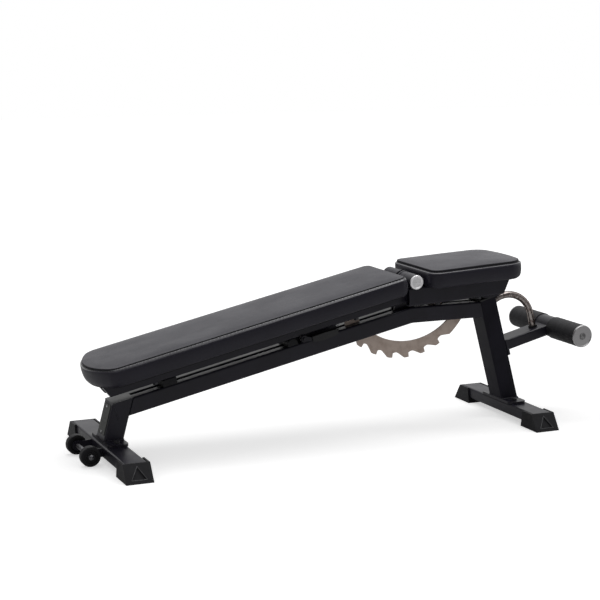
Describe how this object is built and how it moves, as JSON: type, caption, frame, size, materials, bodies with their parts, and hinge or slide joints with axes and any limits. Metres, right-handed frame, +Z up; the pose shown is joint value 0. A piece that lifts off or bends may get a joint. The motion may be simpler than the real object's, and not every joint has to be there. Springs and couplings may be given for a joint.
{
  "type": "weight bench",
  "caption": "Adjustable weight bench: padded backrest and seat on one hinge over a declined steel frame, with a toothed sector, foam rollers, a hand grip and transport wheels.",
  "frame": {"origin": "on the floor, under the middle of the bench's overall box", "axes": "+X from the transport wheels to the foam rollers, +Y to the left of a user who lies with the feet at the rollers, +Z up"},
  "size_m": [1.4214, 0.525, 0.4538],
  "materials": {
    "frame_paint": "satin black powder coat",
    "dark_bolt": "black oxide",
    "rubber": "moulded rubber, matte",
    "plastic": "moulded plastic, matte",
    "plate": "fine-textured dark plate, blank",
    "bright_steel": "zinc-plated steel",
    "chrome": "polished chrome",
    "brushed_steel": "brushed bare steel",
    "board": "plywood under a black backing",
    "leatherette": "fine-grained leatherette over foam",
    "foam": "closed-cell foam, matte"
  },
  "bodies": {
    "frame": {"rear_crossbar": "frame_paint", "front_crossbar": "frame_paint", "rear_foot_left": "rubber", "rear_foot_right": "rubber", "front_foot_left": "rubber", "front_foot_right": "rubber", "rear_flange": "frame_paint", "front_flange": "frame_paint", "frame_bolts": "dark_bolt", "frame_nuts": "bright_steel", "rear_post": "frame_paint", "front_post": "frame_paint", "front_post_cap": "plastic", "nameplate": "plate", "nameplate_screws": "bright_steel", "beam_rail_left": "frame_paint", "beam_rail_right": "frame_paint", "beam_spacers": "frame_paint", "bumpers": "rubber", "wheel_brackets": "frame_paint", "wheel_axle": "bright_steel", "wheel_nuts": "bright_steel", "hinge_uprights": "frame_paint", "hinge_axle": "bright_steel", "hinge_caps": "chrome", "seat_pin_sleeve": "frame_paint", "latch_housing": "frame_paint", "latch_spring": "bright_steel", "roller_arm": "frame_paint", "roller_axle": "bright_steel", "roller_caps": "chrome", "hand_grip": "chrome", "grip_ferrule": "plastic"},
    "backrest": {"back_hubs": "frame_paint", "back_bushes": "plastic", "back_rail_left": "frame_paint", "back_rail_right": "frame_paint", "back_straps": "frame_paint", "toothed_sector": "brushed_steel", "back_board": "board", "back_pad": "leatherette", "back_pad_bolts": "dark_bolt"},
    "seat": {"seat_hubs": "frame_paint", "seat_bushes": "plastic", "seat_rail_left": "frame_paint", "seat_rail_right": "frame_paint", "seat_straps": "frame_paint", "seat_board": "board", "seat_pad": "leatherette", "seat_pad_bolts": "dark_bolt", "seat_quadrant": "brushed_steel"},
    "latch_slider": {"latch_bolt": "bright_steel"},
    "latch_handle": {"latch_lever": "frame_paint", "latch_grip": "plastic"},
    "lock_pin": {"seat_pin": "bright_steel", "seat_pin_knob": "plastic"},
    "left_wheel": {"wheel_left": "rubber"},
    "right_wheel": {"wheel_right": "rubber"},
    "left_roller": {"foam_roller_left": "foam"},
    "right_roller": {"foam_roller_right": "foam"}
  },
  "joints": [
    {"name": "backrest_tilt", "type": "hinge", "parent": "frame", "child": "backrest", "pos_m": [0.21275, 0, 0.4068], "axis": [0, 1, 0], "range_deg": [0, 92.4]},
    {"name": "seat_tilt", "type": "hinge", "parent": "frame", "child": "seat", "pos_m": [0.21275, 0, 0.4068], "axis": [0, -1, 0], "range_deg": [0, 12]},
    {"name": "latch_turn", "type": "hinge", "parent": "frame", "child": "latch_handle", "pos_m": [-0.09514, 0, 0.27094], "axis": [0, -1, 0], "range_deg": [-4.5, 20.3]},
    {"name": "latch_slide", "type": "slide", "parent": "frame", "child": "latch_slider", "axis": [0.9763, 0, 0.2164], "range_m": [-0.003, 0.0135]},
    {"name": "pin_slide", "type": "slide", "parent": "frame", "child": "lock_pin", "axis": [0, 1, 0], "range_m": [-0.008, 0]},
    {"name": "left_wheel_spin", "type": "hinge", "parent": "frame", "child": "left_wheel", "pos_m": [-0.68525, 0.063, 0.026], "axis": [0, 1, 0], "continuous": true},
    {"name": "right_wheel_spin", "type": "hinge", "parent": "frame", "child": "right_wheel", "pos_m": [-0.68525, -0.063, 0.026], "axis": [0, 1, 0], "continuous": true},
    {"name": "left_roller_spin", "type": "hinge", "parent": "frame", "child": "left_roller", "pos_m": [0.67975, 0.099, 0.24], "axis": [0, 1, 0], "continuous": true},
    {"name": "right_roller_spin", "type": "hinge", "parent": "frame", "child": "right_roller", "pos_m": [0.67975, -0.099, 0.24], "axis": [0, 1, 0], "continuous": true}
  ],
  "couplings": [
    {"joint": "latch_slide", "follows": "latch_turn", "m_per_rad": 0.038}
  ]
}
